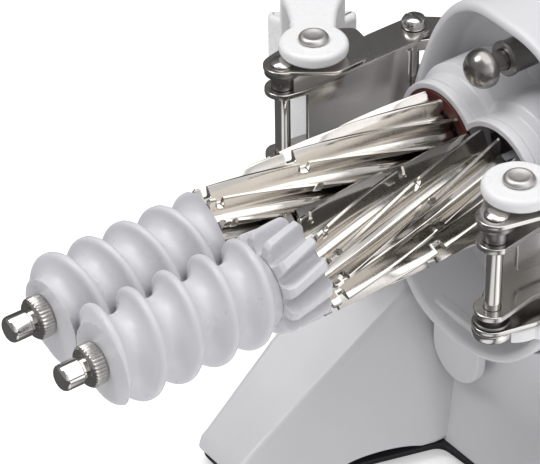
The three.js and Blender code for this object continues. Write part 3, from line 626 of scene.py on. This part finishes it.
def build_rear_cover():
    grow, corner_r, start = BARREL_GROW, 9, BARREL_REAR + GAP
    rings = [oval(grow - 0.5, flat(start)), oval(grow, flat(start + 0.5))]
    for k in range(9):
        a = math.pi / 2 * k / 8
        inwards, rearwards = corner_r * (1 - math.cos(a)), corner_r * math.sin(a)
        rings.append(oval(grow - inwards, flat(COVER_END - corner_r + rearwards)))
    rings += [oval(grow - 20, flat(COVER_END)), oval(grow - 22, flat(COVER_END))]
    cover = loft("rear_cap", rings)
    inner = [oval(grow - 10, flat(start - 1)), oval(grow - 10, flat(COVER_END - 8)),
             oval(grow - 16, flat(COVER_END - 4))]
    combine(cover, loft("inner", inner))
    for i in range(7):
        z = OVAL_Z - 36 + 12 * i
        slot = plate("slot", fillet([(-34, z), (34, z), (34, z + 5), (-34, z + 5)], 2.4, 5, closed=True),
                     start - 2, COVER_END + 2, 0.01, "XZ")
        combine(cover, slot)
    finish(cover, "housing", "body_white", WHITE, "rear_cover")


def tube(name, path, section):
    """Sweeps a section, in the frame of X and the path's normal, along a path in the plane x = 0."""
    rings = []
    for i, p in enumerate(path):
        a, b = Vector(path[max(i - 1, 0)]), Vector(path[min(i + 1, len(path) - 1)])
        ahead = (b - a).normalized()
        normal = Vector((-ahead.y, ahead.x))
        rings.append([(u, p[0] + normal.x * v, p[1] + normal.y * v) for u, v in section])
    return loft(name, rings, smooth_angle=50)


def build_handle():
    corners = [(330, 60), (331, 84), (344, 99), (374, 102), (404, 99), (417, 84), (418, 60)]
    path = corners
    for _ in range(3):
        finer = [path[0]]
        for a, b in zip(path, path[1:]):
            a, b = Vector(a), Vector(b)
            finer += [tuple(a * 0.75 + b * 0.25), tuple(a * 0.25 + b * 0.75)]
        path = finer + [path[-1]]
    section = [(13 * math.copysign(abs(math.cos(t)) ** 0.8, math.cos(t)),
                6.8 * math.copysign(abs(math.sin(t)) ** 0.8, math.sin(t)))
               for t in [2 * math.pi * i / 40 for i in range(40)]]
    handle = tube("carry_grip", path, section)
    body = loft("body", [oval(BARREL_GROW + GAP, flat(300)), oval(BARREL_GROW + GAP, flat(440))])
    combine(handle, body, smooth_angle=50)
    finish(handle, "housing", "body_white", WHITE, "carry_handle")


# ---------- base ----------
def rounded_ring(half_x, front, rear, radius, z, steps=12):
    """Level rectangle with round corners."""
    ring = []
    for x, y, start in ((half_x, rear, 0), (-half_x, rear, 90), (-half_x, front, 180), (half_x, front, 270)):
        cx = x - math.copysign(radius, x)
        cy = y - radius if y == rear else y + radius
        ring += [(px, py, z) for px, py in arc(cx, cy, radius, start, start + 90, steps)]
    return ring


# The column at four levels: half its width, front, rear and height.
COLUMN = ((80, 232, 440, BASE_BOTTOM), (72, 250, 434, -140), (64, 254, 428, -100), (58, 256, 424, -60))
COLUMN_CORNER_R = 24


def column(name, shrink, bottom):
    """Tapering column under the body, smaller all round by a distance."""
    rings = []
    radius = COLUMN_CORNER_R - shrink
    for (ax, af, ar, az), (bx, bf, br, bz) in zip(COLUMN, COLUMN[1:]):
        az = bottom if az == BASE_BOTTOM else az
        for k in range(6):
            t = k / 6
            rings.append(rounded_ring(ax + (bx - ax) * t - shrink, af + (bf - af) * t + shrink,
                                      ar + (br - ar) * t - shrink, radius, az + (bz - az) * t))
    x, f, r, z = COLUMN[-1]
    rings.append(rounded_ring(x - shrink, f + shrink, r - shrink, radius, z))
    return loft(name, rings, smooth_angle=60)


def broken_line(value, *stops):
    """Value of a broken line through (position, value) stops."""
    for (p0, v0), (p1, v1) in zip(stops, stops[1:]):
        if value <= p1:
            return v0 + (v1 - v0) * max(value - p0, 0) / (p1 - p0)
    return stops[-1][1]


def wing(name, shrink, bottom):
    """Forward foot on the left: a ramp that widens to the rear. Its wall and nose lean out downwards."""
    splay, nose, step = 1.4, 2, 5
    rings = []
    for y in range(WING_FRONT, WING_REAR + 1, step):
        outer_x = broken_line(y, (WING_FRONT, -72), (182, -78.5), (225, -78.5), (WING_REAR, -66)) + shrink
        inner_x = broken_line(y, (WING_FRONT, -39), (238, -37)) - shrink
        outer_z = broken_line(y, (WING_FRONT, -163), (235, -91), (250, -88)) - shrink
        inner_z = broken_line(y, (WING_FRONT, -163), (238, -98), (250, -96)) - shrink
        low_x = broken_line(y, (WING_FRONT, -26), (228, -1)) - shrink
        top_y = y + shrink if y == WING_FRONT else y
        low_y = top_y - nose if y == WING_FRONT else y
        rings.append([(outer_x - splay, low_y, bottom), (outer_x, top_y, outer_z),
                      (inner_x, top_y, inner_z), (low_x, low_y, bottom)])
    return loft(name, rings)


def build_arch():
    """Cutter for a low arch in the bottom edge of the forward foot's inner wall."""
    arch = lathe("arch", [(0, -46), (24, -46), (24, 14), (0, 14)], 0, 0, steps=64)
    arch.data.transform(Matrix.Translation(-ORIGIN))
    arch.data.transform(Matrix.Rotation(-math.pi / 2, 4, "Z"))
    arch.data.transform(Matrix.Diagonal((1, 1, 0.2, 1)))
    arch.data.transform(Matrix.Translation(row((0, 197, BASE_BOTTOM - 1))))
    return arch


def build_base():
    base = column("base_housing", 0, BASE_BOTTOM)
    combine(base, bevel(wing("wing", 0, BASE_BOTTOM), 3.0, 5, 30), "UNION", 40)
    cradle = loft("cradle", [oval(BARREL_GROW + GAP, rim(-1)), oval(BARREL_GROW + GAP, flat(470))])
    inlet_x, inlet_z = [(c - h - GAP, c + h + GAP) for c, h in zip(INLET, INLET_HALF)]
    switch_y, switch_z = [(c - h - GAP, c + h + GAP) for c, h in zip(SWITCH, SWITCH_HALF)]
    tools = [column("hollow", BASE_WALL, BASE_BOTTOM - 1), wing("hollow", BASE_WALL, BASE_BOTTOM - 1),
             cradle, build_arch(),
             plate("lug_room", lug_outline(GAP), LUG_FRONT - 0.5, LUG_REAR + 0.5, 0.01, "XZ"),
             box("inlet_room", *inlet_x, 410, 450, *inlet_z, 0.01),
             box("switch_room", 50, 90, *switch_y, *switch_z, 0.01)]
    for tool in tools:
        combine(base, tool, smooth_angle=40)
    finish(base, "housing", "body_white", WHITE, "base_shell")


def build_floor_plate_and_feet():
    outline = [(-73, WING_FRONT), (-27, WING_FRONT), (-12, 193), (-1, 229), (60, 233), (79, 252), (79, 420),
               (60, 439), (-60, 439), (-79, 420), (-79, 262)]
    top, thickness = BASE_BOTTOM - GAP, 3
    bottom = plate("base_floor", fillet(outline, 8, 5, closed=True), top - thickness, top, 0.4)
    finish(bottom, "housing", "dark_plastic", DARK, "base_plate")
    foot = [(0, TABLE + 0.8), (5.5, TABLE + 0.8), (6, TABLE), (8, TABLE), (8.8, TABLE + 0.7),
            (9, TABLE + 1.6), (9, TABLE + 3.7), (0, TABLE + 3.7)]
    for node, x, y in (("foot_front_left", -60, 143), ("foot_front_right", 62, 252),
                       ("foot_rear_left", -62, 422), ("foot_rear_right", 62, 422)):
        finish(lathe(node + "_pad", foot, x, y, "Z", 48), "housing", "foot_rubber", RUBBER, node)


def rounded_box(centre, half_u, half_v, radius, steps):
    """Outline of a rectangle with round corners."""
    u, v = centre
    corners = [(u + a * half_u, v + b * half_v) for a, b in ((-1, -1), (1, -1), (1, 1), (-1, 1))]
    return fillet(corners, radius, steps, closed=True)


def build_inlet():
    (x, z), face = INLET, INLET_FACE
    inlet = plate("inlet_frame", rounded_box(INLET, *INLET_HALF, 3, 5), face - 18, face, 0.6, "XZ")
    well = [(x - 11.5, z - 8.5), (x + 11.5, z - 8.5), (x + 11.5, z + 4), (x + 7, z + 8.5),
            (x - 7, z + 8.5), (x - 11.5, z + 4)]
    combine(inlet, plate("well", fillet(well, 0.8, 3, closed=True), face - 14, face + 2, 0.01, "XZ"))
    for dx, dz in ((-6.5, -1.5), (0, 2.5), (6.5, -1.5)):
        px, pz = x + dx, z + dz
        pin = box("pin", px - 0.9, px + 0.9, face - 14.5, face - 4, pz - 2.3, pz + 2.3, 0.2, "XZ")
        combine(inlet, pin, "UNION")
    finish(inlet, "housing", "dark_plastic", DARK, "power_inlet")


def build_switch():
    (y, z), face = SWITCH, SWITCH_FACE
    bezel = plate("switch_frame", rounded_box(SWITCH, *SWITCH_HALF, 2.5, 5), face - 16, face, 0.7, "YZ")
    combine(bezel, plate("well", rounded_box(SWITCH, 8.5, 7, 0.8, 3), face - 13, face + 2, 0.01, "YZ"))
    finish(bezel, "housing", "dark_plastic", DARK, "switch_bezel")
    # the rocker's key, dished between its raised and its pressed end
    outline = [(face - 8, y - 6.5), (face + 1.4, y - 6.5)]
    for k in range(1, 12):
        t = k / 12
        outline.append((face + 1.4 - 2.9 * math.sin(math.pi * t) ** 0.8 - 1.6 * t, y - 6.5 + 13 * t))
    outline += [(face - 0.2, y + 6.5), (face - 8, y + 6.5)]
    key = plate("rocker_key", outline, z - 6.5, z + 6.5, 0.25)
    finish(key, "rocker", "dark_plastic", DARK, "switch_rocker")


# ---------- latches ----------
def on_lever(along, across):
    """Place of a point that is given along and across the lever, from its rivet."""
    return (RIVET[0] + LEVER_DIR[0] * along - LEVER_DIR[1] * across,
            RIVET[1] + LEVER_DIR[1] * along + LEVER_DIR[0] * across)


def build_lever():
    """Two ears joined by a strut, with a paddle for the fingers beyond it."""
    heading = math.atan2(LEVER_DIR[1], LEVER_DIR[0]) / DEG
    ear = arc(RIVET[0], RIVET[1], 16.5, heading + 40, heading + 320, 40)
    edge = ((16, -10.9), (20, -11), (27, -11.6), (34, -12.8), (42, -15), (50, -16), (64, -16))
    ear += [on_lever(*p) for p in edge] + [on_lever(along, -across) for along, across in reversed(edge)]
    body = plate("lever", ear, 34.8, 41.5, 2.6, steps=6)
    strut = [on_lever(*p) for p in ((58, -16), (64, -16), (64, 16), (58, 16))]
    paddle = [on_lever(*p) for p in ((61, -11), (70, -22), (76, -22), (76, 22), (70, 22), (61, 11))]
    parts = (plate("lower", ear, -35, -27.5, 1.6, steps=4),
             plate("strut", fillet(strut, 1.5, 4, closed=True), -34.5, 41, 1.4, steps=4),
             plate("paddle", fillet(paddle, [2, 3, 2.4, 2.4, 3, 2], 5, closed=True), -24, 12, 3.0, steps=6))
    for part in parts:
        combine(body, part, "UNION")
    combine(body, cylinder("hole", RIVET_HOLE_R, -40, 50, *RIVET, "Z", 40))
    return combine(body, cylinder("room", 9.5, -36, 0, *PIVOT, "Z", 48))


def build_rivet():
    turned = [(0, 28), (3.5, 28), (3.5, 32.8), (9, 32.8), (9, 34.6), (3.5, 34.6), (3.5, 41.8), (7.0, 41.8),
              (7.3, 42.2), (7.2, 43.0), (6.5, 44.0), (5.6, 44.5), (4.8, 44.4), (3.6, 44.0), (2.0, 43.9),
              (0, 43.9)]
    return lathe("rivet", turned, *RIVET, "Z", 64, 50)


def build_link(low, high):
    """Plate with a round eye at the front pin, running back past the rivet."""
    eye = arc(PIVOT[0], PIVOT[1], 9, 190, 350, 24)
    outline = eye + [(89, 203), (90, 222), (80, 235), (64, 232), (55, 221), (54, 204)]
    corners = [0] * len(eye) + [8, 6, 5, 5, 5, 8]
    link = plate("link", fillet(outline, corners, 6, closed=True), low, high, 0.5)
    combine(link, cylinder("hole", PIVOT_HOLE_R, low - 1, high + 1, *PIVOT, "Z", 40))
    return combine(link, cylinder("hole", RIVET_HOLE_R, low - 1, high + 1, *RIVET, "Z", 40))


def build_arm():
    """Channel that opens outwards: round eyes at both pins, and a web with a raised panel."""
    outline = arc(PIVOT[0], PIVOT[1], 8.5, 200, 350, 20) + [(81.5, 208), (88, 248)]
    outline += arc(HINGE[0], HINGE[1], 8.5, -10, 190, 24) + [(68.2, 262), (66.3, 196)]
    arm = plate("arm", outline, 17, 20, 0.6)
    combine(arm, plate("flange", outline, -20, -17, 0.6), "UNION")
    web = fillet([(196, -19.8), (259, -19.8), (259, 19.8), (196, 19.8)], [1, 9, 9, 1], 6, closed=True)
    panel = fillet([(207, -12), (250, -12), (250, 12), (207, 12)], 5, 6, closed=True)
    lean = Matrix(((1, 0.04, 0, 0), (0, 1, 0, 0), (0, 0, 1, 0), (0, 0, 0, 1)))
    front = Matrix.Translation(row((0, 196, 0)))
    for sheet in (plate("web", web, 66.35, 68.5, 0.5, "YZ"), plate("panel", panel, 68.0, 69.7, 0.7, "YZ")):
        sheet.data.transform(front @ lean @ front.inverted())
        combine(arm, sheet, "UNION")
    for radius, centre in ((PIVOT_HOLE_R, PIVOT), (HINGE_HOLE_R, HINGE)):
        combine(arm, cylinder("hole", radius, -30, 30, *centre, "Z", 40))
    return arm


def build_bracket():
    lug = [(70, 300), (67.8, 300), (67.8, 276)] + arc(HINGE[0], HINGE[1], 8.5, 200, 360, 24)
    lug += [(88.5, 284), (76, 298)]
    bracket = plate("bracket", lug, BRACKET_BOTTOM, BRACKET_TOP, 0.6)
    combine(bracket, plate("lug", lug, -BRACKET_TOP, -BRACKET_BOTTOM, 0.6), "UNION")
    foot = fillet([(284, -26), (316, -26), (316, 26), (284, 26)], 4, 5, closed=True)
    combine(bracket, plate("foot", foot, 66.4, 70.4, 0.8, "YZ"), "UNION")
    combine(bracket, cylinder("hole", HINGE_HOLE_R, -30, 30, *HINGE, "Z", 40))
    body = loft("body", [oval(BARREL_GROW + GAP, flat(280)), oval(BARREL_GROW + GAP, flat(320))])
    return combine(bracket, body)


def build_hinge_pin():
    """Pin with a slotted head."""
    turned = [(0, -23.2), (4.2, -23.2), (5.2, -22.6), (5.2, -20.4), (3, -20.4), (3, 20.4), (6, 20.4),
              (6.2, 21), (6.1, 23.4), (5.2, 24.9), (3.6, 25.5), (0, 25.5)]
    x, y = HINGE
    slot = box("slot", x - 8, x + 8, y - 0.8, y + 0.8, 24.2, 27, 0.01)
    return combine(lathe("hinge", turned, x, y, "Z", 56, 50), slot)


def build_pivot_pin():
    turned = [(0, -32), (7.6, -32), (8.6, -31.6), (9, -30.8), (9, -28.2), (8.6, -27.6), (3.8, -27.6),
              (3.8, 32.8), (5.4, 32.8), (5.6, 33.2), (5.2, 33.8), (4, 34.3), (2, 34.5), (0, 34.5)]
    return lathe("pivot", turned, *PIVOT, "Z", 56, 50)


def build_spacer(low, high):
    """Flanged washer on a narrower sleeve; the flange is at the end away from the arm."""
    up = low > 0
    near, far = (low, high) if up else (high, low)
    turn = 1 if up else -1
    flange = far - turn * 2.8 if up else far - turn * 1.6
    turned = [(PIVOT_HOLE_R, near), (5.4, near), (5.4, flange), (7.9, flange), (8.4, flange + turn * 0.5),
              (8.4, far - turn * 0.5), (7.9, far), (PIVOT_HOLE_R, far), (PIVOT_HOLE_R, near)]
    return lathe("spacer", turned, *PIVOT, "Z", 56, 50)


def build_latch(side, label):
    makers = (
        ("latch_bracket", build_bracket, (), "housing", "latch_steel", SHEET_STEEL),
        ("hinge_pin", build_hinge_pin, (), "housing", "pin_steel", PIN_STEEL),
        ("latch_arm", build_arm, (), label + "_arm", "latch_steel", SHEET_STEEL),
        ("pivot_pin", build_pivot_pin, (), label + "_arm", "pin_steel", PIN_STEEL),
        ("upper_spacer", build_spacer, (20.3, 30.2), label + "_arm", "latch_steel", DARK_STEEL),
        ("lower_spacer", build_spacer, (-24.7, -20.3), label + "_arm", "latch_steel", DARK_STEEL),
        ("upper_link_plate", build_link, (30.5, 32.6), label + "_handle", "latch_steel", SHEET_STEEL),
        ("lower_link_plate", build_link, (-27.2, -25.0), label + "_handle", "latch_steel", SHEET_STEEL),
        ("lever", build_lever, (), label + "_handle", "lever_white", LEVER_WHITE),
        ("lever_rivet", build_rivet, (), label + "_handle", "pin_steel", RIVET_STEEL),
    )
    for part, maker, arguments, body, slot, material in makers:
        obj = maker(*arguments)
        if side < 0:
            mirror_x(obj)
        obj.name = label + "_" + part + "_made"
        finish(obj, body, slot, material, label + "_" + part)


# ---------- the CAD nodes that stay ----------
KEPT = {"gearbox_case": CAST, "gearbox_cover": CAST, "idler_gear": GEAR_STEEL, "idler_shaft": TURNED_STEEL,
        "motor_stator": CAST, "motor_rotor": TURNED_STEEL, "cooling_fan": DARK}
for _, label in SIDES:
    for node in ("output_shaft", "bearing", "drive_gear"):
        KEPT[label + "_" + node] = TURNED_STEEL


def dress_kept_nodes():
    for node, material in KEPT.items():
        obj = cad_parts[node]
        obj.data.materials.clear()
        obj.data.materials.append(material)


# ---------- stage ----------
FLOOR_HALF = 14.0
# What the steel reflects: patches on the floor as centre x, y, half sizes and strength, in metres.
FLOOR_PATCHES = ((0.19, -0.20, 0.17, 0.10, 0.9), (0.66, 0.08, 0.66, 0.24, 1.5))
FLOOR_GLOW, FLOOR_REFLECTED = 0.42, 0.12
DARK_SIDE, DARK_FROM, DARK_TO = (-0.75, 0.6, -0.7), -0.2, 0.7
CARD_SIDE, CARD_FROM, CARD_TO, CARD_STRENGTH = (0.96, 0.26, 0.1), 0.35, 0.9, 3.2


def build_floor():
    data = bpy.data.meshes.new("floor")
    size, low = FLOOR_HALF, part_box("foot_rear_left")[0].z
    corners = [(-size, -size, low), (size, -size, low), (size, size, low), (-size, size, low)]
    data.from_pydata(corners, [], [(0, 1, 2, 3)])
    floor = bpy.data.objects.new("floor", data)
    bpy.context.scene.collection.objects.link(floor)
    data.materials.append(floor_paper())


def floor_paper():
    """White paper that shows up darker in the steel, with bright patches as from reflector cards."""
    m = Nodes("floor_paper")
    m.set(colour=colour(0.92, 0.92, 0.92), rough=0.6, specular=0.2)
    m.shader.inputs["Emission Color"].default_value = colour(1, 1, 1)
    m.shader.inputs["Emission Strength"].default_value = FLOOR_GLOW
    seen = m.tree.nodes.new("ShaderNodeEmission")
    glow = None
    for x, y, half_x, half_y, strength in FLOOR_PATCHES:
        spot = m.tree.nodes.new("ShaderNodeVectorMath")
        spot.operation = "SUBTRACT"
        m.link(m.place, spot.inputs[0])
        spot.inputs[1].default_value = (x, y, 0)
        scale = m.tree.nodes.new("ShaderNodeVectorMath")
        scale.operation = "DIVIDE"
        m.link(spot.outputs["Vector"], scale.inputs[0])
        scale.inputs[1].default_value = (half_x, half_y, 1)
        reach = m.tree.nodes.new("ShaderNodeVectorMath")
        reach.operation = "LENGTH"
        m.link(scale.outputs["Vector"], reach.inputs[0])
        here = m.spread(reach.outputs["Value"], strength, 0.0, 0.55, 1.0)
        if glow:
            add = m.tree.nodes.new("ShaderNodeMath")
            m.link(glow, add.inputs[0])
            m.link(here, add.inputs[1])
            here = add.outputs["Value"]
        glow = here
    base = m.tree.nodes.new("ShaderNodeMath")
    base.inputs[1].default_value = FLOOR_REFLECTED
    m.link(glow, base.inputs[0])
    m.link(base.outputs["Value"], seen.inputs["Strength"])
    rays = m.tree.nodes.new("ShaderNodeLightPath")
    mix = m.tree.nodes.new("ShaderNodeMixShader")
    m.link(rays.outputs["Is Glossy Ray"], mix.inputs["Fac"])
    m.tree.links.new(m.shader.outputs["BSDF"], mix.inputs[1])
    m.tree.links.new(seen.outputs["Emission"], mix.inputs[2])
    m.tree.links.new(mix.outputs["Shader"], m.tree.nodes["Material Output"].inputs["Surface"])
    return m.material


def soft_light(name, place, target, width, height, power):
    data = bpy.data.lights.new(name, "AREA")
    data.shape, data.size, data.size_y = "RECTANGLE", width, height
    data.energy = power
    lamp = bpy.data.objects.new(name, data)
    bpy.context.scene.collection.objects.link(lamp)
    lamp.location = place
    lamp.rotation_euler = (Vector(target) - Vector(place)).to_track_quat("-Z", "Y").to_euler()


def build_lights():
    centre = row((0, 120, 0))
    soft_light("overhead", centre + Vector((0.0, 0.2, 1.3)), centre, 2.0, 1.3, 14.5)
    soft_light("front_left", centre + Vector((-0.8, -0.9, 1.8)), centre, 0.9, 0.9, 14)
    soft_light("right_card", centre + Vector((1.25, 0.38, 0.6)), centre, 0.6, 1.3, 2)


def build_world():
    """Grey light, darker towards the left, rear and below, with a card that only reflections see."""
    world = bpy.data.worlds.new("studio")
    world.use_nodes = True
    tree = world.node_tree
    background = tree.nodes["Background"]
    coords = tree.nodes.new("ShaderNodeTexCoord")

    def facing(direction, source_low, source_high, low, high):
        """Goes from low to high as the ray turns towards a direction."""
        toward = tree.nodes.new("ShaderNodeVectorMath")
        toward.operation = "DOT_PRODUCT"
        toward.inputs[1].default_value = direction
        tree.links.new(coords.outputs["Generated"], toward.inputs[0])
        fade = tree.nodes.new("ShaderNodeMapRange")
        for socket, value in (("From Min", source_low), ("From Max", source_high),
                              ("To Min", low), ("To Max", high)):
            fade.inputs[socket].default_value = value
        tree.links.new(toward.outputs["Value"], fade.inputs["Value"])
        return fade.outputs["Result"]

    mix = tree.nodes.new("ShaderNodeMix")
    mix.data_type = "RGBA"
    tree.links.new(facing(DARK_SIDE, DARK_FROM, DARK_TO, 0.0, 1.0), mix.inputs["Factor"])
    mix.inputs["A"].default_value = colour(0.30, 0.30, 0.31)
    mix.inputs["B"].default_value = colour(0.08, 0.08, 0.08)
    tree.links.new(mix.outputs["Result"], background.inputs["Color"])
    rays = tree.nodes.new("ShaderNodeLightPath")
    strength = tree.nodes.new("ShaderNodeMix")
    strength.inputs["A"].default_value = 1.0
    tree.links.new(rays.outputs["Is Glossy Ray"], strength.inputs["Factor"])
    tree.links.new(facing(CARD_SIDE, CARD_FROM, CARD_TO, 1.0, CARD_STRENGTH), strength.inputs["B"])
    tree.links.new(strength.outputs["Result"], background.inputs["Strength"])
    bpy.context.scene.world = world


# ---------- camera ----------
CAMERA_PLACE = (717.0, -399.8, 659.5)
CAMERA_TURN = (53.85, 36.26, -0.94)
CAMERA_LENS = 167.0


def build_camera():
    azimuth, elevation, roll = (angle * DEG for angle in CAMERA_TURN)
    right = Vector((math.cos(azimuth), math.sin(azimuth), 0))
    back = Vector((math.sin(azimuth) * math.cos(elevation), -math.cos(azimuth) * math.cos(elevation),
                   math.sin(elevation)))
    up = back.cross(right)
    turned_right = right * math.cos(roll) + up * math.sin(roll)
    turned_up = up * math.cos(roll) - right * math.sin(roll)
    data = bpy.data.cameras.new("camera")
    data.lens, data.sensor_width = CAMERA_LENS, 36.0
    data.clip_start, data.clip_end = 0.05, 60.0
    camera = bpy.data.objects.new("camera", data)
    bpy.context.scene.collection.objects.link(camera)
    matrix = Matrix((turned_right, turned_up, back)).transposed().to_4x4()
    matrix.translation = row(CAMERA_PLACE)
    camera.matrix_world = matrix
    bpy.context.scene.camera = camera


build_camera()
build_lights()
build_world()
build_floor()
build_white_gear()
for side, label in SIDES:
    build_gear_train(side, label)
    build_latch(side, label)
build_cup()
build_seal()
build_stud()
build_barrel()
build_rear_cover()
build_handle()
build_base()
build_floor_plate_and_feet()
build_inlet()
build_switch()
dress_kept_nodes()
bpy.context.scene.view_settings.view_transform = "Standard"
